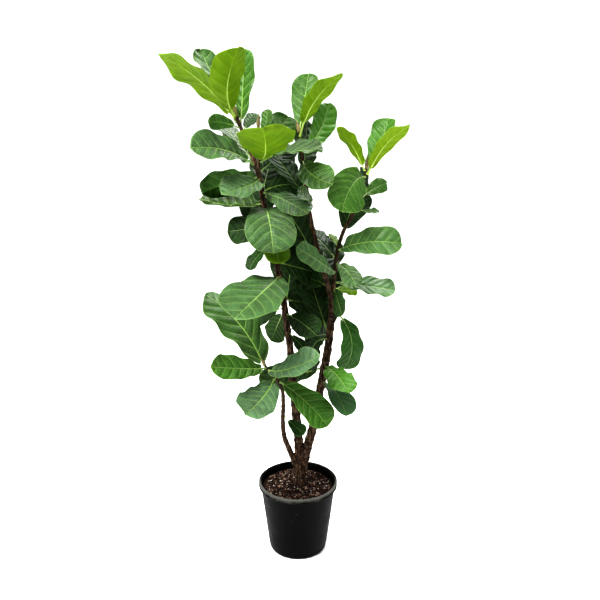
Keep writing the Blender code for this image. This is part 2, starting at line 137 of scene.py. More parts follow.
# Each leaf: name, stem, height of its foot above the mix, heading (0 right, 90 back, 180 left, 270 front),
# rise, length, stalk, width over length, droop, sweep, roll, cup, age. Angles are in degrees.
LEAVES = [
    ("crown_1", "tall", 1.245, 250, 30, 0.24, 0.04, 0.46, -20, 60, -10, 0.3, "young"),
    ("crown_2", "tall", 1.22, 70, 80, 0.2, 0.02, 0.5, 0, 0, 20, 0, "leaf"),
    ("crown_3", "tall", 1.24, 200, 55, 0.26, 0.02, 0.6, 30, -10, -20, -0.1, "young"),
    ("crown_4", "tall", 1.225, 150, 60, 0.22, 0.04, 0.46, 10, -20, 0, 0.2, "leaf"),
    ("crown_5", "tall", 1.21, 210, 25, 0.08, 0.02, 0.65, 30, 0, -70, 0, "leaf"),
    ("crown_6", "tall", 1.2, 70, 35, 0.08, 0.02, 0.6, 10, -10, -20, 0, "leaf"),
    ("side_1", "side", 1.12, 285, 5, 0.24, 0.04, 0.7, -30, -20, 0, 0.3, "young"),
    ("side_2", "side", 1.15, 70, 15, 0.16, 0.05, 0.6, -20, -10, -40, 0.2, "leaf"),
    ("side_3", "tall", 1.1, 230, 35, 0.2, 0.03, 0.52, 40, -20, 50, 0.3, "leaf"),
    ("side_4", "tall", 1.115, 125, 35, 0.17, 0.02, 0.7, 0, 20, -10, 0, "leaf"),
    ("side_5", "side", 1.11, 335, 30, 0.15, 0.05, 0.7, 40, 10, -20, 0.3, "leaf"),
    ("middle_1", "middle", 1.195, 85, 30, 0.2, 0.05, 0.46, -30, -10, 0, 0.3, "leaf"),
    ("middle_2", "middle", 1.185, 290, 60, 0.2, 0.05, 0.42, 30, 40, 10, 0.1, "young"),
    ("middle_3", "middle", 1.14, 60, 15, 0.19, 0.06, 0.48, -40, 10, -50, 0, "leaf"),
    ("middle_4", "middle", 1.11, 275, -25, 0.14, 0.02, 0.7, -10, 60, -40, 0.3, "leaf"),
    ("middle_5", "middle", 1.03, 55, 50, 0.08, 0.05, 0.75, 70, -10, -40, 0, "old"),
    ("middle_6", "middle", 1.085, 70, -5, 0.13, 0.02, 0.48, 30, 30, -50, 0.1, "old"),
    ("right_1", "right", 1.08, 205, 70, 0.14, 0.02, 0.5, 30, -10, -20, 0.1, "young"),
    ("right_2", "right", 1.08, 45, 45, 0.17, 0.02, 0.6, -20, 10, 10, 0.3, "leaf"),
    ("right_3", "right", 1.07, 330, 70, 0.18, 0.02, 0.45, 40, 10, 30, 0, "young"),
    ("right_4", "right", 1.06, 246, 12, 0.18, 0.02, 0.76, 80, -10, 60, 0, "leaf"),
    ("right_5", "right", 0.99, 55, 25, 0.11, 0.04, 0.5, 20, -10, -60, 0, "leaf"),
    ("right_6", "right", 0.83, 305, 30, 0.2, 0.02, 0.48, 40, 60, -60, 0.3, "leaf"),
    ("right_7", "right", 0.8, 120, 35, 0.18, 0.02, 0.6, 20, 20, 0, 0, "old"),
    ("fork_1", "right", 0.76, 255, 25, 0.2, 0.02, 0.42, -10, -50, 60, 0, "leaf"),
    ("fork_2", "right", 0.785, 295, 10, 0.12, 0.02, 0.55, 60, 0, -20, 0, "leaf"),
    ("fork_3", "right", 0.725, 345, 0, 0.17, 0.02, 0.62, 10, 10, -20, 0.1, "leaf"),
    ("fork_4", "right", 0.705, 275, -5, 0.11, 0.02, 0.65, 40, 10, -70, 0, "old"),
    ("tall_1", "tall", 1.055, 260, -5, 0.15, 0.02, 0.75, 10, -60, 30, 0.3, "leaf"),
    ("tall_2", "tall", 1.06, 130, -5, 0.21, 0.02, 0.5, 20, 40, -60, 0.1, "old"),
    ("tall_3", "tall", 0.98, 130, -15, 0.22, 0.03, 0.65, -30, 40, 10, 0.3, "leaf"),
    ("tall_4", "tall", 0.96, 275, 25, 0.22, 0.03, 0.72, 100, 10, 0, 0, "leaf"),
    ("tall_5", "tall", 1.015, 320, -5, 0.16, 0.02, 0.65, 20, 0, -20, 0, "leaf"),
    ("tall_6", "tall", 0.92, 120, -25, 0.14, 0.02, 0.7, -20, 60, 70, 0, "old"),
    ("tall_7", "tall", 0.845, 235, 0, 0.1, 0.02, 0.5, 60, -10, 10, 0.2, "old"),
    ("tall_8", "tall", 0.875, 280, 10, 0.14, 0.04, 0.6, 50, 0, 0, 0, "young"),
    ("tall_9", "tall", 1, 60, -10, 0.14, 0.02, 0.65, 20, 0, -60, 0.2, "old"),
    ("tall_10", "tall", 0.745, 255, -2, 0.27, 0.02, 0.74, 20, -20, 10, 0.2, "leaf"),
    ("tall_11", "tall", 0.62, 305, 0, 0.14, 0.02, 0.65, 20, 0, -30, 0.2, "old"),
    ("tall_12", "tall", 0.625, 105, -40, 0.14, 0.04, 0.62, 20, 20, -60, 0.1, "old"),
    ("tall_13", "tall", 0.555, 300, -15, 0.08, 0.02, 0.5, 0, 0, -50, 0, "old"),
    ("tall_14", "tall", 1.02, 25, 25, 0.13, 0.02, 0.72, 50, 0, -70, -0.1, "old"),
    ("tall_15", "tall", 0.79, 35, -20, 0.17, 0.02, 0.66, 0, 0, -70, 0, "old"),
    ("tall_16", "tall", 0.665, 50, -25, 0.16, 0.02, 0.7, -10, -10, -70, 0, "old"),
    ("tall_17", "tall", 0.87, 85, 15, 0.2, 0.03, 0.6, 40, 0, 0, 0.2, "leaf"),
    ("tall_18", "tall", 1.075, 60, 25, 0.15, 0.03, 0.66, 0, -10, -30, 0.1, "old"),
    ("low_1", "low", 0.475, 139, 60, 0.28, 0.02, 0.68, 30, 30, 10, 0, "leaf"),
    ("low_2", "low", 0.468, 230, 15, 0.19, 0.02, 0.46, 0, -20, 50, 0.2, "leaf"),
    ("low_3", "low", 0.46, 300, 15, 0.2, 0.02, 0.5, -20, 50, -40, 0.3, "leaf"),
    ("low_4", "low", 0.43, 250, -22, 0.18, 0.02, 0.7, -20, -10, 20, 0.2, "leaf"),
    ("low_5", "low", 0.415, 340, -26, 0.185, 0.02, 0.58, 20, -10, -30, 0.3, "leaf"),
    ("low_6", "low", 0.28, 325, -30, 0.07, 0.02, 0.7, -10, -10, -30, 0.2, "old"),
    ("lower_1", "fork", 0.445, 285, 15, 0.17, 0.02, 0.55, 40, 10, -10, 0, "leaf"),
    ("lower_2", "fork", 0.39, 300, 10, 0.15, 0.02, 0.65, 60, -10, 10, 0.2, "old"),
    ("lower_3", "fork", 0.63, 329, -30, 0.18, 0.04, 0.62, 100, 0, -20, 0, "old"),
    ("lower_4", "fork", 0.54, 225, 15, 0.14, 0.04, 0.7, 70, 60, 60, 0, "old"),
    ("lower_5", "fork", 0.545, 90, -15, 0.19, 0.02, 0.6, 10, 50, 60, 0, "old"),
]

# Small leaves, and leaves inside the crown, beyond the model's own parts.
NEW_LEAVES = [
    ("small_1", "right", 0.96, 5, -25, 0.05, 0.02, 0.7, -40, 10, -20, 0.2, "leaf"),
    ("small_2", "right", 0.83, 85, 10, 0.07, 0.03, 0.45, -20, 40, -10, 0.2, "young"),
    ("small_3", "side", 1.165, 65, 50, 0.09, 0.02, 0.5, -30, 0, 10, 0, "leaf"),
    ("small_4", "right", 0.705, 65, -20, 0.09, 0.03, 0.5, -10, -40, -40, 0, "young"),
    ("small_5", "middle", 1.05, 250, -40, 0.07, 0.02, 0.75, -10, 60, 10, 0, "leaf"),
    ("small_6", "middle", 0.715, 125, 15, 0.12, 0.02, 0.66, 40, 0, 60, 0.1, "old"),
    ("inner_1", "tall", 1.008, 85, 39, 0.2, 0.034, 0.78, 12, -14, -10, 0.01, "old"),
    ("inner_2", "fork", 0.63, 88, 27, 0.2, 0.033, 0.61, -5, 20, 29, 0.14, "old"),
    ("inner_3", "tall", 0.651, 71, 55, 0.2, 0.025, 0.75, -6, 27, -6, 0.03, "old"),
    ("inner_4", "middle", 1.072, 88, 44, 0.198, 0.027, 0.64, 0, -3, -51, 0.05, "old"),
    ("inner_5", "tall", 0.892, 104, 28, 0.177, 0.023, 0.75, -10, 20, 46, 0.05, "old"),
    ("inner_6", "middle", 0.72, 106, 42, 0.196, 0.031, 0.74, 23, -39, -33, 0.19, "old"),
    ("inner_7", "right", 0.873, 60, 60, 0.15, 0.035, 0.76, 26, -2, -40, 0, "old"),
    ("inner_8", "fork", 0.43, 152, -19, 0.2, 0.026, 0.55, 1, 23, -68, 0.09, "old"),
    ("inner_9", "right", 0.967, 68, 40, 0.12, 0.03, 0.57, -15, 15, -65, 0.15, "old"),
    ("inner_10", "middle", 0.79, 155, 60, 0.178, 0.024, 0.57, 3, 19, 70, 0.19, "old"),
    ("inner_11", "fork", 0.56, 79, 47, 0.165, 0.032, 0.62, 11, 18, 32, 0.12, "old"),
    ("inner_12", "fork", 0.63, 93, 52, 0.168, 0.035, 0.55, 27, -13, 45, 0.19, "old"),
    ("inner_13", "middle", 1.0, 140, 50, 0.15, 0.03, 0.75, 10, 0, 0, 0.1, "old"),
    ("inner_14", "fork", 0.56, 125, 58, 0.18, 0.03, 0.8, 0, 0, 0, 0.1, "old"),
    ("inner_16", "tall", 0.665, 25, -15, 0.085, 0.02, 0.85, 0, 0, -60, 0, "old"),
    ("inner_17", "tall", 0.565, 30, -5, 0.08, 0.02, 0.8, 0, 0, -60, 0, "old"),
    ("inner_15", "tall", 0.635, 165, -20, 0.09, 0.02, 0.75, 10, 0, 60, 0, "old"),
]

# ---------------- finishes


def colour(code):
    """A '#rrggbb' colour as the linear colour that a shader takes."""
    parts = [int(code[i:i + 2], 16) / 255.0 for i in (1, 3, 5)]
    return (*[c / 12.92 if c <= 0.04045 else ((c + 0.055) / 1.055) ** 2.4 for c in parts], 1.0)


def feed(tree, node, links):
    """Gives a node's sockets, in order or by name, a value, a '#rrggbb' colour or another node's output."""
    for socket, value in links.items() if isinstance(links, dict) else enumerate(links):
        if isinstance(value, bpy.types.Node):
            value = value.outputs[0]
        if isinstance(value, bpy.types.NodeSocket):
            tree.links.new(value, node.inputs[socket])
        else:
            node.inputs[socket].default_value = colour(value) if isinstance(value, str) else value


def add(tree, kind, links=(), stops=(), **settings):
    """Adds a node with its settings, its links and, for a ramp, its (place, colour) stops."""
    made = tree.nodes.new("ShaderNode" + kind)
    for name, value in settings.items():
        setattr(made, name, value)
    if stops:
        ramp = made.color_ramp.elements
        while len(ramp) < len(stops):
            ramp.new(0.5)
        for stop, (place, shade) in zip(ramp, stops):
            stop.position = place
            stop.color = colour(shade) if isinstance(shade, str) else shade
    feed(tree, made, links)
    return made


def finish(name):
    """An empty material with its shader and its output."""
    made = bpy.data.materials.new(name)
    made.use_nodes = True
    tree = made.node_tree
    tree.nodes.clear()
    shader = add(tree, "BsdfPrincipled")
    out = add(tree, "OutputMaterial", {"Surface": shader})
    return made, tree, shader, out


EASED = {"interpolation_type": "SMOOTHSTEP"}    # for a range that starts and ends softly


def blade_skin(name, deep, fresh, bright, rib, vein, rough, shine, glow, through, relief, under):
    """Skin of a leaf blade, which follows the blade's own map: across it, and from foot to tip.

    deep and fresh are the two greens it wanders between, and bright is the green of a younger blade.
    rib is the colour of its veins, and vein is how far the side veins take it. through is the light
    that comes through it and glow is how much of that there is. shine is the gloss of its wax, and
    relief is the depth of its net.
    """
    made, tree, shader, out = finish(name)
    chart = add(tree, "UVMap", uv_map="blade")
    place = add(tree, "TexCoord").outputs["Object"]
    split = add(tree, "SeparateXYZ", [chart])
    side = add(tree, "Math", [split.outputs[0], 0.5], operation="SUBTRACT")
    half = add(tree, "Math", [side], operation="ABSOLUTE")
    right = add(tree, "Math", [side, 0.0], operation="GREATER_THAN")
    # side veins leave the midrib at about 60 degrees and bend towards the tip
    lift = add(tree, "Math", [half, VEIN_BEND, VEIN_SLOPE], operation="MULTIPLY_ADD")
    # and those at the foot fan out steeply
    fan = add(tree, "MapRange", [split.outputs[1], 0.0, FAN_END, FAN_SLOPE, 0.0])
    steep = add(tree, "Math", [lift, fan], operation="ADD")
    rise = add(tree, "Math", [half, steep], operation="MULTIPLY")
    level = add(tree, "Math", [split.outputs[1], rise], operation="SUBTRACT")
    count = add(tree, "Math", [level, VEINS, VEIN_START], operation="MULTIPLY_ADD")
    shift = add(tree, "Math", [right, VEIN_STAGGER, count], operation="MULTIPLY_ADD")
    away = add(tree, "Math", [shift, 0.5], operation="PINGPONG")
    thin = add(tree, "MapRange", [half, 0.0, 0.36, 0.056, 0.016])
    # the first veins up from the foot are the strongest
    strong = add(tree, "MapRange", [split.outputs[1], 0.15, 0.75, vein * 1.7, vein * 0.8])
    side_vein = add(tree, "MapRange", [away, 0.0, thin, strong, 0.0], **EASED)
    halo = add(tree, "MapRange", [away, 0.0, 0.14, 0.22, 0.0], **EASED)
    width = add(tree, "MapRange", [split.outputs[1], 0.0, 1.0, 0.017, 0.004])
    midrib = add(tree, "MapRange", [half, 0.0, width, 1.6, 0.0], **EASED)
    # the fine net between the side veins: cells of about 5 mm
    net = add(tree, "TexVoronoi", {"Vector": place, "Scale": 200.0}, feature="DISTANCE_TO_EDGE")
    gap = net.outputs["Distance"]
    mesh = add(tree, "MapRange", [gap, 0.0, 0.22, 0.22, 0.0], **EASED)
    lines = add(tree, "Math", [side_vein, halo], operation="MAXIMUM")
    lines = add(tree, "Math", [lines, mesh], operation="MAXIMUM")
    veins = add(tree, "Math", [lines, midrib], operation="MAXIMUM", use_clamp=True)
    # patches of 50 mm where the leaf is older or fresher
    patch = add(tree, "TexNoise", {"Vector": place, "Scale": 20.0, "Detail": 3.0, "Roughness": 0.6})
    green = add(tree, "ValToRGB", [patch], stops=[(0.38, deep), (0.62, fresh)])
    freshness_and_shade = add(tree, "Attribute", attribute_name="fresh").outputs["Fac"]
    lively = add(tree, "Mix", {"Factor": freshness_and_shade, 6: green, 7: bright}, data_type="RGBA")
    # below 0 the fresh attribute paints shade: the green is darkened towards #030a02, three quarters of the
    # way at -1
    shade = add(tree, "MapRange", [freshness_and_shade, 0.0, -1.0, 0.0, 0.75])
    painted_shade_green = add(tree, "Mix", {"Factor": shade, 6: lively.outputs[2], 7: "#030a02"}, data_type="RGBA")
    # dust and dried wax in soft patches, and with them a painted grey sheen of the sky on blades that face
    # it
    dust_and_sheen_amount = add(tree, "Attribute", attribute_name="dust").outputs["Fac"]
    patches = add(tree, "MapRange", [patch, 0.25, 0.7, 0.36, 0.74])
    dust_and_sheen_film = add(tree, "Math", [dust_and_sheen_amount, patches], operation="MULTIPLY")
    greyed = add(tree, "Mix", {"Factor": dust_and_sheen_film, 6: painted_shade_green.outputs[2], 7: "#5f7b67"}, data_type="RGBA")
    # a pale margin, a millimetre or two wide
    edge = add(tree, "Attribute", attribute_name="edge").outputs["Fac"]
    margin = add(tree, "MapRange", [edge, 0.97, 1.0, 0.0, 0.4])
    marks = add(tree, "Math", [veins, margin], operation="MAXIMUM")
    pale = add(tree, "Mix", {"Factor": marks, 6: greyed.outputs[2], 7: rib}, data_type="RGBA")
    # a scatter of brown specks a millimetre or two wide, where sap has dried or a leaf was rubbed
    speck = add(tree, "TexNoise", {"Vector": place, "Scale": 260.0, "Detail": 1.0})
    spots = add(tree, "MapRange", [speck, 0.70, 0.76, 0.0, 0.6])
    skin = add(tree, "Mix", {"Factor": spots, 6: pale.outputs[2], 7: "#4a3d1c"}, data_type="RGBA")
    wax = add(tree, "MapRange", [patch, 0.3, 0.7, rough - 0.05, rough + 0.06])
    # the blade puffs up a millimetre or two between its side veins
    puff = add(tree, "MapRange", [away, 0.0, 0.5, 1.6, 0.0], **EASED)
    depth = add(tree, "Math", [veins, 0.4, puff], operation="MULTIPLY_ADD")
    grain = add(tree, "TexNoise", {"Vector": place, "Scale": 500.0, "Detail": 2.0})
    height = add(tree, "Math", [grain, 0.12, depth], operation="MULTIPLY_ADD")
    bump = add(tree, "Bump", {"Strength": 0.5, "Distance": relief, "Height": height}, invert=not under)
    feed(tree, shader, {"Base Color": skin.outputs[2], "Roughness": wax, "Normal": bump})
    feed(tree, shader, {"Specular IOR Level": shine, "IOR": 1.45})
    lit = add(tree, "BsdfTranslucent", {"Color": through, "Normal": bump})
    both = add(tree, "MixShader", [glow, shader, lit])
    feed(tree, out, [both])
    return made


# Leaf skins. A fig's upper skin is leathery with a thin wax, so the sky shows on it as a soft grey
# sheen. Below it is paler and dull, with standing veins. New leaves are thin and yellow-green.
OLD_TOP = blade_skin(
    "old_leaf_upper", "#051303", "#112d05", "#1e4708", "#5f8540",
    vein=0.5, rough=0.50, shine=0.15, glow=0.06, through="#2f6a08", relief=0.0008, under=False,
)
OLD_BACK = blade_skin(
    "old_leaf_underside", "#1b3a0b", "#2c5413", "#3d6c14", "#5f7d38",
    vein=0.7, rough=0.60, shine=0.12, glow=0.06, through="#3c7a0e", relief=0.0012, under=True,
)
LEAF_TOP = blade_skin(
    "leaf_upper", "#061802", "#1a4206", "#356a07", "#98ba66",
    vein=0.6, rough=0.42, shine=0.26, glow=0.12, through="#4c9208", relief=0.0008, under=False,
)
LEAF_BACK = blade_skin(
    "leaf_underside", "#284f0c", "#3f7214", "#558a12", "#7d9f42",
    vein=0.8, rough=0.58, shine=0.16, glow=0.12, through="#5a9c0e", relief=0.0012, under=True,
)
YOUNG_TOP = blade_skin(
    "young_leaf_upper", "#436802", "#658803", "#7d9c04", "#93b030",
    vein=0.6, rough=0.42, shine=0.24, glow=0.30, through="#98b802", relief=0.0006, under=False,
)
YOUNG_BACK = blade_skin(
    "young_leaf_underside", "#567604", "#728f05", "#87a206", "#9cb83c",
    vein=0.6, rough=0.55, shine=0.16, glow=0.30, through="#a0be03", relief=0.0010, under=True,
)


def stalk_skin(name, low, high):
    """Stalk and midrib: smooth, round and pale, mottled over a few millimetres."""
    made, tree, shader, _ = finish(name)
    place = add(tree, "TexCoord").outputs["Object"]
    streak = add(tree, "TexNoise", {"Vector": place, "Scale": 160.0, "Detail": 3.0})
    tint = add(tree, "ValToRGB", [streak], stops=[(0.3, low), (0.7, high)])
    bump = add(tree, "Bump", {"Strength": 0.3, "Distance": 0.0004, "Height": streak})
    feed(tree, shader, {"Base Color": tint, "Normal": bump, "Roughness": 0.45})
    return made


STALK = stalk_skin("stalk", "#5c7a35", "#93ab5c")
YOUNG_STALK = stalk_skin("young_stalk", "#93ad3f", "#c0d573")


def bark():
    """Fig bark: thin, brown and grey, ringed with old leaf scars and cracked lengthwise."""
    made, tree, shader, _ = finish("fig_bark")
    place = add(tree, "TexCoord").outputs["Object"]
    girth = add(tree, "Attribute", attribute_name="girth").outputs["Fac"]
    # cracks and fibres 5 mm apart and five times as long, twice as coarse as real ones so that they show
    stretch = add(tree, "Mapping", {0: place, "Scale": (1.0, 1.0, 0.2)})
    fibre = add(tree, "TexNoise", {"Vector": stretch, "Scale": 190.0, "Detail": 6.0, "Roughness": 0.6})
    crack = add(tree, "TexVoronoi", {"Vector": stretch, "Scale": 150.0}, feature="DISTANCE_TO_EDGE")
    # rings round the stem where leaves and sheaths fell, 8 mm apart and uneven
    flat = add(tree, "Mapping", {0: place, "Scale": (0.25, 0.25, 1.0)})
    ring = add(tree, "TexNoise", {"Vector": flat, "Scale": 120.0, "Detail": 2.0})
    # lichen and dried dust in patches of 15 mm
    patch = add(tree, "TexNoise", {"Vector": place, "Scale": 62.0, "Detail": 4.0, "Roughness": 0.6})
    old = add(tree, "ValToRGB", [fibre], stops=[(0.32, "#120a06"), (0.50, "#33231a"), (0.68, "#7a6048")])
    dust = add(tree, "MapRange", [patch, 0.54, 0.74, 0.0, 0.45])
    grey = add(tree, "Mix", {"Factor": dust, 6: old, 7: "#7c7060"}, data_type="RGBA")
    scar = add(tree, "MapRange", [ring, 0.56, 0.66, 0.0, 0.6])
    scarred = add(tree, "Mix", {"Factor": scar, 6: grey.outputs[2], 7: "#1c110b"}, data_type="RGBA")
    young = add(tree, "ValToRGB", [fibre], stops=[(0.34, "#1d1a10"), (0.66, "#4c4128")])
    age = add(tree, "MapRange", [girth, 0.0048, 0.0080, 0.0, 1.0])
    tint = add(tree, "Mix", {"Factor": age, 6: young, 7: scarred.outputs[2]}, data_type="RGBA")
    gap = add(tree, "MapRange", [crack.outputs["Distance"], 0.0, 0.25, 0.0, 0.5])
    rough = add(tree, "Math", [fibre, 1.0, gap], operation="MULTIPLY_ADD")
    deep = add(tree, "Math", [ring, -1.2, rough], operation="MULTIPLY_ADD")
    bump = add(tree, "Bump", {"Strength": 0.6, "Distance": 0.0010, "Height": deep})
    dull = add(tree, "MapRange", [fibre, 0.3, 0.7, 0.92, 0.70])
    feed(tree, shader, {
        "Base Color": tint.outputs[2], "Roughness": dull, "Normal": bump, "Specular IOR Level": 0.2,
    })
    return made


def sheath():
    """Dry bud sheath: papery, streaked lengthwise from brown to pale olive."""
    made, tree, shader, _ = finish("bud_sheath")
    place = add(tree, "TexCoord").outputs["Object"]
    stretch = add(tree, "Mapping", {0: place, "Scale": (1.0, 1.0, 0.2)})
    fibre = add(tree, "TexNoise", {"Vector": stretch, "Scale": 900.0, "Detail": 4.0})
    tint = add(tree, "ValToRGB", [fibre], stops=[(0.3, "#5b4a2c"), (0.55, "#8a7a52"), (0.8, "#9a9a5c")])
    bump = add(tree, "Bump", {"Strength": 0.4, "Distance": 0.0005, "Height": fibre})
    feed(tree, shader, {"Base Color": tint, "Normal": bump, "Roughness": 0.7})
    return made


def moulded_plastic():
    """Black polypropylene, injection moulded: a dull skin, scuffed and dusted, greyest on its rim."""
    made, tree, shader, _ = finish("black_polypropylene")
    place = add(tree, "TexCoord").outputs["Object"]
    split = add(tree, "SeparateXYZ", [place])
    # dust in clouds of 40 mm, thicker on the rim band
    cloud = add(tree, "TexNoise", {"Vector": place, "Scale": 25.0, "Detail": 6.0, "Roughness": 0.65})
    rim = add(tree, "MapRange", [split.outputs[2], RIM_TOP - 0.019, RIM_TOP - 0.001, 0.0, 1.0])
    # the rim greys more at the front, towards -Y, than at the back
    side = add(tree, "MapRange", [split.outputs[1], -0.06, 0.05, 0.58, 0.16])
    rim_greying = add(tree, "Math", [rim, side], operation="MULTIPLY")
    worn = add(tree, "Math", [rim_greying, cloud], operation="ADD")
    tint = add(tree, "ValToRGB", [worn], stops=[(0.35, "#020202"), (0.62, "#070707"), (1.0, "#53534e")])
    # fine scuffs drawn down the wall, 2 mm apart
    drawn = add(tree, "Mapping", {0: place, "Scale": (1.0, 1.0, 0.08)})
    scuff = add(tree, "TexNoise", {"Vector": drawn, "Scale": 480.0, "Detail": 3.0})
    marks = add(tree, "MapRange", [scuff, 0.62, 0.78, 0.0, 0.35])
    scuffed = add(tree, "Mix", {"Factor": marks, 6: tint, 7: "#191918"}, data_type="RGBA")
    skin = add(tree, "TexNoise", {"Vector": place, "Scale": 1400.0, "Detail": 2.0})
    bump = add(tree, "Bump", {"Strength": 0.25, "Distance": 0.0003, "Height": skin})
    rough = add(tree, "MapRange", [cloud, 0.3, 0.7, 0.42, 0.62])
    feed(tree, shader, {
        "Base Color": scuffed.outputs[2], "Roughness": rough, "Normal": bump,
        "IOR": 1.49, "Specular IOR Level": 0.085,
    })
    return made


def crumbs(name, shades, scale, rough):
    """Loose mineral or woody matter: shades from dark to light over grains of a few millimetres."""
    made, tree, shader, _ = finish(name)
    place = add(tree, "TexCoord").outputs["Object"]
    grain = add(tree, "TexNoise", {"Vector": place, "Scale": scale, "Detail": 6.0, "Roughness": 0.7})
    lump = add(tree, "TexVoronoi", {"Vector": place, "Scale": scale * 0.8})
    blend = add(tree, "Math", [lump.outputs["Distance"], 0.35, grain], operation="MULTIPLY_ADD")
    steps = [(0.40 + 0.42 * i / (len(shades) - 1), shade) for i, shade in enumerate(shades)]
    tint = add(tree, "ValToRGB", [blend], stops=steps)
    bump = add(tree, "Bump", {"Strength": 0.9, "Distance": 0.0009, "Height": blend})
    feed(tree, shader, {
        "Base Color": tint, "Normal": bump, "Roughness": rough, "Specular IOR Level": 0.15,
    })
    return made


BARK = bark()
SHEATH = sheath()
PLASTIC = moulded_plastic()
# Potting mix is damp peat, so it is nearly black, with rough crumbs of 3 to 5 mm.
PEAT = crumbs("peat_mix", ["#040201", "#0c0604", "#190f09", "#30211a"], 260.0, 0.95)
# Composted pine bark: red-brown flakes with paler worn faces.
CHIP = crumbs("pine_bark", ["#080302", "#170a06", "#321a10", "#8a7768"], 180.0, 0.85)
# Perlite: white volcanic glass popped into dull, pitted beads.
PERLITE = crumbs("perlite", ["#77746e", "#a9a69f", "#d0cec8"], 700.0, 0.9)

# ---------------- making

bpy.ops.object.select_all(action="DESELECT")


def alone(piece):
    """Selects one piece and nothing else."""
    bpy.ops.object.select_all(action="DESELECT")
    piece.select_set(True)
    bpy.context.view_layer.objects.active = piece


def apply_all(piece):
    """Applies all of a piece's modifiers, and leaves it selected."""
    alone(piece)
    for modifier in [m.name for m in piece.modifiers]:
        bpy.ops.object.modifier_apply(modifier=modifier)


def edit_all():
    """Edit mode, with the whole of the piece selected."""
    bpy.ops.object.mode_set(mode="EDIT")
    bpy.ops.mesh.select_all(action="SELECT")


def edit_open_edges():
    """Edit mode, with only the edges of the piece's open ends selected."""
    bpy.ops.object.mode_set(mode="EDIT")
    bpy.ops.mesh.select_all(action="DESELECT")
    bpy.ops.mesh.select_mode(type="EDGE")
    bpy.ops.mesh.select_non_manifold()


def coat(piece, skin):
    """Gives a piece one finish all over."""
    piece.data.materials.clear()
    piece.data.materials.append(skin)


def join(pieces):
    """Several pieces as one, under the first one's name."""
    bpy.ops.object.select_all(action="DESELECT")
    for piece in pieces:
        piece.select_set(True)
    bpy.context.view_layer.objects.active = pieces[0]
    if len(pieces) > 1:
        bpy.ops.object.join()
    return bpy.context.object


def done(piece, name, slot, *nodes):
    """Names a finished piece, and says which body and CAD nodes are its own. Its slot is not used."""
    alone(piece)
    bpy.ops.object.transform_apply(location=True, rotation=True, scale=True)
    piece.name = piece.data.name = name
    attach(piece, "root")
    if nodes:
        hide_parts(*nodes)


def level_way(angle):
    """The level direction at an angle round Z."""
    return Vector((cos(angle), sin(angle), 0.0))


def stem_at(stem, height):
    """Centre and radius of a stem at a height, a smooth curve through its points."""
    points = STEMS[stem]
    last = len(points) - 2
    index = 0
    while index < last and height > points[index + 1][2]:
        index += 1
    low, high = points[index], points[index + 1]
    before, after = points[max(index - 1, 0)], points[min(index + 2, last + 1)]
    span = high[2] - low[2]
    t = (height - low[2]) / span
    found = []
    for axis in (0, 1, 3):
        slope_low = (high[axis] - before[axis]) / (high[2] - before[2]) * span
        slope_high = (after[axis] - low[axis]) / (after[2] - low[2]) * span
        found.append(
            (2 * t**3 - 3 * t**2 + 1) * low[axis]
            + (t**3 - 2 * t**2 + t) * slope_low
            + (3 * t**2 - 2 * t**3) * high[axis]
            + (t**3 - t**2) * slope_high
        )
    return Vector((found[0], found[1], MIX_LEVEL + height)), found[2]


def rod(points, sides):
    """A round rod along (place, radius) points, as a closed mesh."""
    line = bpy.data.curves.new("rod", "CURVE")
    line.dimensions = "3D"
    line.bevel_depth = 1.0
    line.bevel_resolution = max(0, sides // 2 - 2)
    line.use_fill_caps = True
    run = line.splines.new("POLY")
    run.points.add(len(points) - 1)
    for point, (place, radius) in zip(run.points, points):
        point.co = (*place, 1.0)
        point.radius = radius
    made = bpy.data.objects.new("rod", line)
    bpy.context.scene.collection.objects.link(made)
    alone(made)
    bpy.ops.object.convert(target="MESH")
    made = bpy.context.object
    edit_all()
    bpy.ops.mesh.remove_doubles(threshold=0.00001)
    bpy.ops.mesh.normals_make_consistent(inside=False)
    bpy.ops.object.mode_set(mode="OBJECT")
    return made


# ---------------- leaves

# How far the end of a blade is turned over, in degrees: the crown leaves are still unrolling.
TURNED_TIPS = {"crown_1": 0.0, "crown_3": -12.0, "right_3": 30.0, "middle_2": 20.0, "low_1": 10.0}

# How fresh a blade still is where it shows, up to 1. Below 0 the blade is painted with shade instead: at -1
# it is darkened to the dark green of a leaf in the plant's own shade. The others are from 0 to 0.3.
FRESH_AND_SHADE = {
    "middle_3": 1.0, "right_2": 0.7, "right_3": 0.8, "right_4": 0.5, "right_5": 0.5, "right_6": 0.4,
    "lower_1": 0.9, "lower_2": 1.0, "lower_3": 1.0, "side_2": 0.3, "side_3": 0.05, "side_5": -0.55,
    "side_1": -0.22, "side_4": -0.35, "middle_4": 0.3, "crown_2": 0.4, "middle_1": 0.35, "low_2": 0.5,
    "low_3": 0.0, "low_4": 0.0, "low_5": 0.6, "fork_1": 0.2, "fork_3": 0.4, "tall_1": 0.1,
    "tall_4": -0.2, "tall_5": 0.0, "tall_10": 0.2, "low_1": 0.2, "tall_2": -0.4, "tall_3": -0.5,
    "tall_17": -0.6, "tall_11": -0.8, "tall_12": -0.8, "tall_15": -0.8, "tall_16": -0.8,
    "tall_14": -0.7, "tall_18": -0.7, "tall_9": -0.7, "lower_4": -0.8, "lower_5": -0.8,
    "middle_5": -0.5, "middle_6": -0.5, "right_7": -0.5, "tall_6": -0.3,
}

# How much dust, dried wax and painted grey sheen of the sky grey a blade, from 0 to 1, where it shows.
DUST_AND_SHEEN = {
    "low_3": 1.0, "low_4": 0.9, "lower_2": 0.7, "tall_1": 0.6, "tall_4": 0.35, "tall_5": 0.5,
    "tall_10": 0.45, "fork_1": 0.5, "fork_3": 0.6, "side_3": 0.4, "side_5": 0.35, "low_1": 0.25,
    "right_6": 0.35, "fork_2": 0.4, "side_4": 0.0, "crown_5": 0.4, "crown_6": 0.5, "crown_4": 0.25,
}


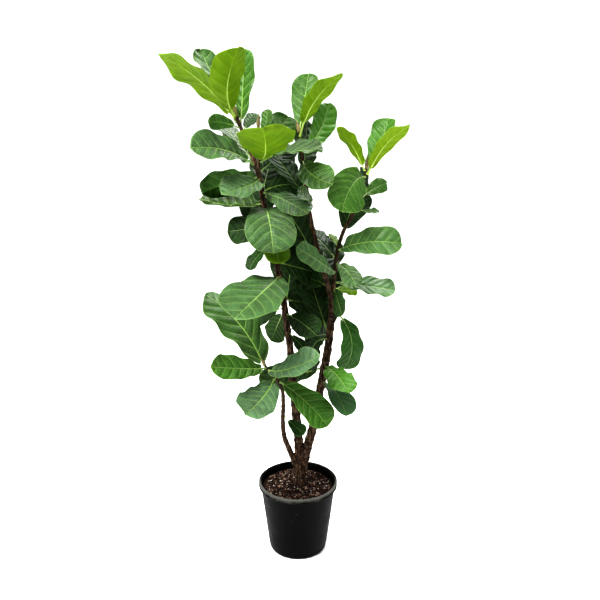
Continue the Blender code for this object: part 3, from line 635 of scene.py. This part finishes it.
def half_width(t):
    """Outline of a blade: widest past the middle, with the slight waist of a fiddle."""
    chord = sqrt(max(0.0, 1.0 - abs(t) ** (2.4 if t < 0.0 else 3.2)))
    waist = 1.0 - 0.05 * exp(-(((t + 0.35) / 0.25) ** 2))
    return chord * waist * (1.0 + 0.30 * t) / 1.15


def leaf_way(stem, height, heading, rise, length, stalk, droop, sweep, roll, steps=72):
    """Along a leaf, from the wood to its tip: (place, across, above, ahead) at even steps."""

    def ahead_at(part):
        turn, lift = radians(heading + sweep * part), radians(rise - droop * part)
        return turn, Vector((cos(lift) * cos(turn), cos(lift) * sin(turn), sin(lift)))

    centre, girth = stem_at(stem, height)
    turn, lift = radians(heading), radians(rise)
    out = girth + LEAF_GAP + STALK_RADIUS * 1.2 * abs(sin(lift))
    place = centre + level_way(turn) * out
    blade_from = stalk / (length + stalk)
    way = []
    for index in range(steps + 1):
        part = index / steps
        turn, ahead = ahead_at(part)
        side = Vector((sin(turn), -cos(turn), 0.0))
        over = side.cross(ahead)
        lean = radians(roll) * min(1.0, part / blade_from)
        way.append((
            place.copy(),
            side * cos(lean) + over * sin(lean),
            over * cos(lean) - side * sin(lean),
            ahead,
        ))
        place = place + ahead_at((index + 0.5) / steps)[1] * ((length + stalk) / steps)
    return centre, way, blade_from


def leaf(name, stem, height, heading, rise, length, stalk, share, droop, sweep, roll, cup, age):
    """A leaf: a grid drawn out to the blade's outline and bent, with a wall, on its stalk and midrib."""
    chance = random.Random(name)
    centre, way, blade_from = leaf_way(stem, height, heading, rise, length, stalk, droop, sweep, roll)
    small = length < 0.12
    tip = TURNED_TIPS.get(name, chance.uniform(-14.0, 14.0))
    bpy.ops.mesh.primitive_grid_add(
        x_subdivisions=24 if small else 38, y_subdivisions=36 if small else 58, size=2.0
    )
    blade = bpy.context.object
    mesh = blade.data
    waves = [chance.uniform(0.0, 6.28) for _ in range(4)]
    beats = [chance.uniform(2.3, 3.4) for _ in range(2)]
    swing = {"young": 0.020, "leaf": 0.026, "old": 0.024}[age] * chance.uniform(0.7, 1.3)
    puff = {"young": 0.0022, "leaf": 0.0030, "old": 0.0026}[age]
    lobe = {"young": 0.03, "leaf": 0.07, "old": 0.08}[age]
    chart, rims = [], []
    for vert in mesh.vertices:
        # the square grid is drawn out to a disc: t runs along it and x across, both from -1 to 1
        a, b = vert.co.x, vert.co.y
        x, t = a * sqrt(1.0 - b * b / 2), b * sqrt(1.0 - a * a / 2)
        rim = sqrt(max(1e-9, 1.0 - t * t))
        across = max(-1.0, min(1.0, x / rim))
        edge = 1 if across > 0 else 0
        ripple = 1.0 + 0.020 * sin(7.0 * t + waves[edge])
        ripple += 0.007 * sin(15.0 * t + waves[edge + 2])
        wide = half_width(t) * share * length / 2 * ripple
        spread = across * wide / length                 # share of the length, out from the midrib
        # two lobes at the foot, drawn back beside the stalk
        foot = max(0.0, -t - 0.45) / 0.55
        t_back = t - 2.0 * lobe * foot * foot * (1.0 - exp(-((spread / 0.035) ** 2)))
        # a short drip tip
        t_back += 0.02 * max(0.0, t - 0.90) / 0.10 * exp(-((spread / 0.03) ** 2))
        down = (t_back + 1.0) / 2
        part = max(0.0, blade_from + (1.0 - blade_from) * down)
        spot = min(part, 1.0) * (len(way) - 1)
        index = min(int(spot), len(way) - 2)
        low, high = way[index], way[index + 1]
        share_high = spot - index
        place = low[0].lerp(high[0], share_high)
        tilted = low[1].lerp(high[1], share_high)
        above = low[2].lerp(high[2], share_high)
        if part > 1.0:
            place = place + high[3] * ((part - 1.0) * (length + stalk))
        # the end of the blade turns over, over its last quarter
        twist = Matrix.Rotation(radians(tip) * max(0.0, down - 0.72) ** 1.5 / 0.148, 3, high[3])
        tilted, above = twist @ tilted, twist @ above
        # it puffs up between its side veins, but not at the midrib or the margin
        out = abs(spread)
        steep = VEIN_SLOPE + VEIN_BEND * out + FAN_SLOPE * max(0.0, 1.0 - down / FAN_END)
        beat = (down - out * steep) * VEINS + VEIN_START + (VEIN_STAGGER if spread > 0 else 0.0)
        pillow = abs(sin(pi * beat)) ** 0.8
        calm = min(1.0, out / 0.05) * min(1.0, (1.0 - abs(across)) / 0.25)
        # cupped across, wavy along its margin, and sunk along the midrib
        lifted = cup * wide * across * across
        lifted += puff * length / 0.25 * pillow * calm
        lifted += swing * length * abs(across) ** 3 * sin(6.28 * beats[edge] * down + waves[edge])
        lifted -= 0.0022 * exp(-((out / 0.02) ** 2)) * (1.0 - 0.6 * down)
        vert.co = place + tilted * (across * wide) + above * lifted
        chart.append((0.5 + spread, down))
        rims.append(hypot(x, t))
    mesh.uv_layers.active.name = "blade"
    for loop in mesh.loops:
        mesh.uv_layers["blade"].data[loop.index].uv = chart[loop.vertex_index]
    # inner blades get -0.9 of painted shade: darkened like leaves deep in the plant's own shade
    freshness_and_shade = FRESH_AND_SHADE.get(name, -0.9 if name.startswith("inner") else chance.uniform(0.0, 0.3))
    # the dust attribute greys a blade with dust and dried wax, and with a painted grey sheen of the sky
    grey = DUST_AND_SHEEN.get(name, 0.1)
    for title, values in {"edge": rims, "fresh": [freshness_and_shade] * len(rims), "dust": [grey] * len(rims)}.items():
        mesh.attributes.new(title, "FLOAT", "POINT").data.foreach_set("value", values)
    top, back, stick = {
        "young": (YOUNG_TOP, YOUNG_BACK, YOUNG_STALK),
        "leaf": (LEAF_TOP, LEAF_BACK, STALK),
        "old": (OLD_TOP, OLD_BACK, STALK),
    }[age]
    for skin in (top, back):
        mesh.materials.append(skin)
    wall = blade.modifiers.new("wall", "SOLIDIFY")
    wall.thickness = BLADE_WALL
    wall.offset = -1.0
    wall.material_offset = 1
    wall.material_offset_rim = 0
    apply_all(blade)
    bpy.ops.object.shade_smooth_by_angle(angle=radians(60))
    # the stalk swells where it meets the wood, and runs on under the blade as its midrib
    stout = STALK_RADIUS * min(1.0, max(0.6, length / 0.18))
    points = [(centre.lerp(way[0][0], 0.35), stout * 1.5)]
    for index in range(0, len(way) - 2, 2):
        place, tilted, above, ahead = way[index]
        part = index / (len(way) - 1)
        if part < blade_from:
            radius = stout * (1.0 + 0.5 * exp(-part / blade_from * 3.0))
            sink = 0.0
        else:
            along = (part - blade_from) / (1.0 - blade_from)
            radius = stout * (1.0 - 0.82 * along ** 0.7)
            sink = radius * 0.9 * min(1.0, along / 0.05) + 0.0018 * min(1.0, along / 0.05) * (1.0 - along)
        points.append((place - above * sink, radius))
    rib = rod(points, 8)
    rib.data.materials.append(stick)
    rib.data.uv_layers.new(name="blade")
    bpy.ops.object.shade_smooth()
    return join([blade, rib])


SLOTS = {"young": "young_leaf", "leaf": "leaf", "old": "old_leaf"}
for row in LEAVES:
    done(leaf(*row), "fig_" + row[0], SLOTS[row[-1]], "leaf_" + row[0])
for row in NEW_LEAVES:
    done(leaf(*row), "fig_" + row[0], SLOTS[row[-1]])

# ---------------- buds


def bud(name, foot, tip, radius, bend):
    """A pointed bud in its sheath: a cone with rings, swollen below, drawn to a bent point."""
    bpy.ops.mesh.primitive_cone_add(vertices=14, radius1=1.0, radius2=0.0, depth=2.0)
    made = bpy.context.object
    edit_all()
    bpy.ops.mesh.subdivide(number_cuts=7)
    bpy.ops.object.mode_set(mode="OBJECT")
    way = Vector(tip) - Vector(foot)
    turn = way.to_track_quat("Z", "Y").to_matrix()
    for vert in made.data.vertices:
        level = (vert.co.z + 1.0) / 2
        angle = atan2(vert.co.y, vert.co.x)
        out = hypot(vert.co.x, vert.co.y) / max(1e-6, 1.0 - level)
        swell = (1.0 - level) ** 0.8 * (0.75 + 0.9 * sin(pi * min(1.0, level + 0.12)) ** 2)
        pleat = 1.0 + 0.07 * sin(3.0 * angle + 5.0 * level)
        flat = level_way(angle) * (min(1.0, out) * radius * swell * pleat)
        flat.z = level * way.length
        vert.co = Vector(foot) + turn @ flat + Vector(bend) * level ** 2
    made.data.materials.append(SHEATH)
    bpy.ops.object.shade_smooth()
    return made


buds = []
for index, (stem, long, radius, bend) in enumerate([
    ("tall", 0.052, 0.0055, (0.006, -0.004, 0.0)),
    ("side", 0.050, 0.0048, (0.008, -0.002, 0.0)),
    ("middle", 0.040, 0.0050, (-0.004, 0.004, 0.0)),
    ("right", 0.042, 0.0050, (0.004, 0.002, 0.0)),
    ("low", 0.030, 0.0042, (-0.006, 0.000, 0.0)),
]):
    top = STEMS[stem][-1][2]
    low, _ = stem_at(stem, top - 0.014)
    high, _ = stem_at(stem, top)
    way = (high - low).normalized()
    buds.append(bud("bud", low, low + way * long, radius, bend))
done(join(buds), "bud_sheaths", "bark")

# ---------------- wood


def knots(stem):
    """Heights of the leaf scars on a stem, closer together on its young end."""
    points = STEMS[stem]
    chance = random.Random(stem)
    found, height = [], points[0][2] + 0.03
    while height < points[-1][2] - 0.02:
        found.append(height)
        _, girth = stem_at(stem, height)
        height += (0.012 + girth * 1.3) * chance.uniform(0.7, 1.4)
    return found


wood, cores = [], []
foot = Vector((COLLAR[0], 0.0, MIX_LEVEL))
for stem, points in STEMS.items():
    rings = knots(stem)
    run = []
    height = points[0][2]
    while height < points[-1][2] - 0.002:
        centre, girth = stem_at(stem, height)
        knuckle = max([0.0] + [exp(-(((height - ring) / 0.0035) ** 2)) for ring in rings])
        run.append((centre, girth * (0.95 + 0.13 * knuckle)))
        cores.append((centre, girth))
        height += 0.003
    wood.append(rod(run, 16))
    # leaf scars, two fifths of a turn apart up the stem
    for index, ring in enumerate(rings):
        centre, girth = stem_at(stem, ring)
        angle = index * 2.4 + len(stem)
        bpy.ops.mesh.primitive_ico_sphere_add(
            subdivisions=2, radius=1.0,
            location=centre + level_way(angle) * girth * 0.78,
            scale=(girth * 0.38, girth * 0.38, girth * 0.30),
        )
        wood.append(bpy.context.object)
# the flare of the foot, with the tops of its roots
for index in range(7):
    angle = index * 0.9 + 0.3
    away = level_way(angle)
    wood.append(rod([
        (foot + away * 0.006 + Vector((0, 0, 0.055)), 0.006),
        (foot + away * 0.011 + Vector((0, 0, 0.030)), 0.0085),
        (foot + away * 0.019 + Vector((0, 0, 0.006)), 0.0080),
        (foot + away * 0.034 + Vector((0, 0, -0.012)), 0.0055),
    ], 10))
bpy.ops.mesh.primitive_cone_add(
    vertices=24, radius1=0.024, radius2=0.017, depth=0.090, location=foot + Vector((0, 0, 0.005))
)
wood.append(bpy.context.object)
trunk = join(wood)
trunk.data.remesh_voxel_size = 0.0019
alone(trunk)
bpy.ops.object.voxel_remesh()
trunk = bpy.context.object
smooth = trunk.modifiers.new("smooth", "SMOOTH")
smooth.iterations = 3
smooth.factor = 0.5
apply_all(trunk)
tree = kdtree.KDTree(len(cores))
for index, (centre, girth) in enumerate(cores):
    tree.insert(centre, index)
tree.balance()
thick = trunk.data.attributes.new("girth", "FLOAT", "POINT")
moved = []
for vert in trunk.data.vertices:
    _, index, _ = tree.find(vert.co)
    girth = cores[index][1]
    if vert.co.z < MIX_LEVEL + 0.05:
        girth = max(girth, 0.015)
    thick.data[vert.index].value = girth
    ridge = noise.noise(Vector((vert.co.x * 210, vert.co.y * 210, vert.co.z * 48)))
    lump = noise.noise(vert.co * 60.0)
    moved.append(vert.co + vert.normal * girth * (0.060 * ridge + 0.07 * lump))
for vert, place in zip(trunk.data.vertices, moved):
    vert.co = place
coat(trunk, BARK)
for face in trunk.data.polygons:
    face.material_index = 0
bpy.ops.object.shade_smooth()
done(trunk, "woody_stems", "bark", "trunk")

# ---------------- pot


def turned(rings, sides):
    """A ring drawn out by hand through (radius, height) steps round Z."""
    bpy.ops.mesh.primitive_circle_add(vertices=sides, radius=rings[0][0], location=(0.0, 0.0, rings[0][1]))
    made = bpy.context.object
    bpy.ops.object.transform_apply(location=True)
    edit_all()
    for (radius, height), (after, level) in zip(rings, rings[1:]):
        bpy.ops.mesh.extrude_region_move(TRANSFORM_OT_translate={"value": (0.0, 0.0, level - height)})
        share = after / radius
        bpy.ops.transform.resize(value=(share, share, 1.0), center_override=(0.0, 0.0, level))
    bpy.ops.object.mode_set(mode="OBJECT")
    return made


def wall_radius(height):
    """Outside radius of the tapered wall at a height."""
    return WALL_FOOT + (WALL_TOP - WALL_FOOT) * height / RIM_TOP


def arc(radius, height, size, start, end, steps):
    """Rings round a quarter or half circle of the section, angles in degrees."""
    return [
        (
            radius + size * cos(radians(start + (end - start) * i / steps)),
            height + size * sin(radians(start + (end - start) * i / steps)),
        )
        for i in range(steps + 1)
    ]


section = [(0.004, 0.0035), (0.030, 0.0030), (WALL_FOOT - 0.026, 0.0030), (WALL_FOOT - 0.022, 0.0005)]
section += [(WALL_FOOT - 0.020, 0.0)]
section += arc(WALL_FOOT - 0.0085, 0.0085, 0.0085, -90, -4, 6)
section += [(wall_radius(height), height) for height in (0.020, 0.060, 0.100, 0.140, 0.180, 0.205, 0.222)]
# the band: turned down outside the wall, with a bead along its lower edge and a rolled top
band = RIM_RADIUS - 0.0022
section += [(wall_radius(0.2296), 0.2296), (wall_radius(0.231) + 0.0008, 0.2332)]
section += arc(band + 0.0006, RIM_TOP - 0.0150, 0.0016, -120, 60, 6)
section += [(band + 0.0002, RIM_TOP - 0.0118), (band + 0.0002, RIM_TOP - 0.0058)]
section += arc(band - 0.0010, RIM_TOP - 0.0030, 0.0030, -20, 90, 6)
section += [(wall_radius(RIM_TOP) - 0.0008, RIM_TOP - 0.0002)]
inside = wall_radius(RIM_TOP) - WALL
section += [(inside + 0.0004, RIM_TOP - 0.0012), (inside, RIM_TOP - 0.0030)]
section += [(wall_radius(height) - WALL, height) for height in (0.236, 0.200, 0.120, 0.040, 0.010)]
section += [(wall_radius(0.004) - WALL - 0.006, 0.0055), (0.030, 0.0050), (0.004, 0.0055)]
pot = turned(section, 160)
alone(pot)
edit_open_edges()
bpy.ops.mesh.edge_face_add()
bpy.ops.mesh.select_all(action="SELECT")
bpy.ops.mesh.normals_make_consistent(inside=False)
bpy.ops.object.mode_set(mode="OBJECT")
drills = []
for index in range(DRAIN_HOLES):
    turn = 2.0 * pi * (index + 0.5) / DRAIN_HOLES
    bpy.ops.mesh.primitive_cylinder_add(
        vertices=28, radius=DRAIN_RADIUS, depth=0.03,
        location=(DRAIN_RING * cos(turn), DRAIN_RING * sin(turn), 0.004),
    )
    drills.append(bpy.context.object)
drill = join(drills)
holes = pot.modifiers.new("drain_holes", "BOOLEAN")
holes.operation = "DIFFERENCE"
holes.solver = "EXACT"
holes.object = drill
apply_all(pot)
bpy.data.objects.remove(drill, do_unlink=True)
alone(pot)
coat(pot, PLASTIC)
bpy.ops.object.shade_smooth_by_angle(angle=radians(42))
done(pot, "grower_pot", "black_plastic", "pot")

# ---------------- potting mix


# Lumps of the mix: about how many there are to a metre, and how high they stand.
LUMPS = [(55.0, 0.0030), (150.0, 0.0022), (400.0, 0.0010)]


def heap(x, y):
    """Height of the potting mix: full and lumpy, with a lower edge at the wall."""
    out = hypot(x, y) / (wall_radius(MIX_LEVEL) - WALL)
    height = MIX_LEVEL + 0.003 + (MIX_HEAP - 0.002) * (1.0 - out ** 5)
    spot = Vector((x, y, 0.0))
    lumps = sum(noise.noise(spot * rate) * size for rate, size in LUMPS)
    return height + lumps * min(1.0, (1.02 - out) * 8.0 + 0.35)


bpy.ops.mesh.primitive_grid_add(x_subdivisions=150, y_subdivisions=150, size=2.0)
mix = bpy.context.object
reach = wall_radius(MIX_LEVEL) - WALL - MIX_GAP
for vert in mix.data.vertices:
    a, b = vert.co.x, vert.co.y
    x, y = a * sqrt(1.0 - b * b / 2) * reach, b * sqrt(1.0 - a * a / 2) * reach
    vert.co = Vector((x, y, heap(x, y)))
edit_open_edges()
for level in (0.200, 0.120, 0.040, 0.009):
    share = (wall_radius(level) - WALL - MIX_GAP) / reach
    bpy.ops.mesh.extrude_region_move(TRANSFORM_OT_translate={"value": (0.0, 0.0, -0.001)})
    bpy.ops.transform.resize(value=(share, share, 0.0), center_override=(0.0, 0.0, level))
    reach *= share
bpy.ops.mesh.edge_face_add()
bpy.ops.mesh.select_all(action="SELECT")
bpy.ops.mesh.normals_make_consistent(inside=False)
bpy.ops.object.mode_set(mode="OBJECT")
coat(mix, PEAT)
bpy.ops.object.shade_smooth_by_angle(angle=radians(50))
done(mix, "peat_surface", "potting_mix", "potting_mix")


def scatter(name, count, small, large, flat, skin, seed):
    """Bits lying on the mix: one chipped bead, copied, each turned, stretched and settled."""
    chance = random.Random(seed)
    bits = []
    bpy.ops.mesh.primitive_ico_sphere_add(subdivisions=1, radius=1.0)
    first = bpy.context.object
    while len(bits) < count:
        x, y = chance.uniform(-0.115, 0.115), chance.uniform(-0.115, 0.115)
        if hypot(x, y) > CRUMB_REACH or hypot(x - COLLAR[0], y) < COLLAR[1]:
            continue
        copy = first.copy()
        copy.data = first.data.copy()
        bpy.context.scene.collection.objects.link(copy)
        size = chance.uniform(small, large)
        long, high = chance.uniform(0.6, 1.3), chance.uniform(0.7, 1.3)
        shape = Matrix.Diagonal((size * long, size, size * flat * high))
        spin = (
            Matrix.Rotation(chance.uniform(0, 6.28), 3, "Z")
            @ Matrix.Rotation(chance.gauss(0, 0.35), 3, "X")
            @ Matrix.Rotation(chance.gauss(0, 0.35), 3, "Y")
        )
        rest = Vector((x, y, heap(x, y) + size * flat * 0.35))
        for vert in copy.data.vertices:
            chipped = vert.co * chance.uniform(0.72, 1.18)
            vert.co = rest + spin @ (shape @ chipped)
        bits.append(copy)
    bpy.data.objects.remove(first, do_unlink=True)
    made = join(bits)
    coat(made, skin)
    done(made, name, "potting_mix")


scatter("bark_chips", 360, 0.0024, 0.0084, 0.42, CHIP, 3)
scatter("peat_crumbs", 500, 0.0012, 0.0034, 0.75, PEAT, 5)
scatter("perlite_beads", 60, 0.0012, 0.0034, 0.85, PERLITE, 8)

# ---------------- stage

bpy.ops.mesh.primitive_plane_add(size=80.0, location=(0.0, 0.0, -0.0006))
floor = bpy.context.object
floor.name = "studio_floor"
pale, tree, shader, _ = finish("pale_floor")
feed(tree, shader, {"Base Color": "#f4f4f3", "Roughness": 0.9})
floor.data.materials.append(pale)
floor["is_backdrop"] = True

# a white tent: pale round the sides, dimmer above them, and a bright soft panel overhead
sky = bpy.data.worlds.new("studio")
sky.use_nodes = True
tree = sky.node_tree
split = add(tree, "SeparateXYZ", [add(tree, "TexCoord").outputs["Generated"]])
white, side, above = (1.0, 1.0, 1.0, 1.0), (0.20, 0.21, 0.22, 1.0), (0.24, 0.25, 0.27, 1.0)
tent = add(
    tree, "ValToRGB", [split.outputs[2]],
    stops=[(0.22, white), (0.34, side), (0.72, above), (0.88, white)],
)
panel = add(tree, "MapRange", [split.outputs[2], 0.72, 0.90, 1.0, 2.9])
feed(tree, tree.nodes["Background"], {"Color": tent, "Strength": panel})
bpy.context.scene.world = sky


def lamp(name, place, aim, size, power):
    """A soft square studio lamp turned towards a point."""
    bpy.ops.object.light_add(type="AREA", location=place)
    made = bpy.context.object
    made.name = name
    made.data.size = size
    made.data.energy = power
    made.rotation_euler = (Vector(aim) - Vector(place)).to_track_quat("-Z", "Y").to_euler()


lamp("key", (-1.4, -1.4, 3.2), (0.0, 0.0, 0.9), 1.1, 125.0)
lamp("back", (0.8, 2.0, 3.2), (0.0, 0.0, 1.0), 1.6, 75.0)

bpy.ops.object.camera_add(location=(0.007, -2.2, 1.5), rotation=(radians(74.58), 0.0, 0.0))
camera = bpy.context.object
camera.data.sensor_width = 36.0
camera.data.lens = 42.6
bpy.context.scene.camera = camera
bpy.context.scene.view_settings.view_transform = "Standard"
bpy.context.scene.view_settings.look = "High Contrast"

low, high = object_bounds()
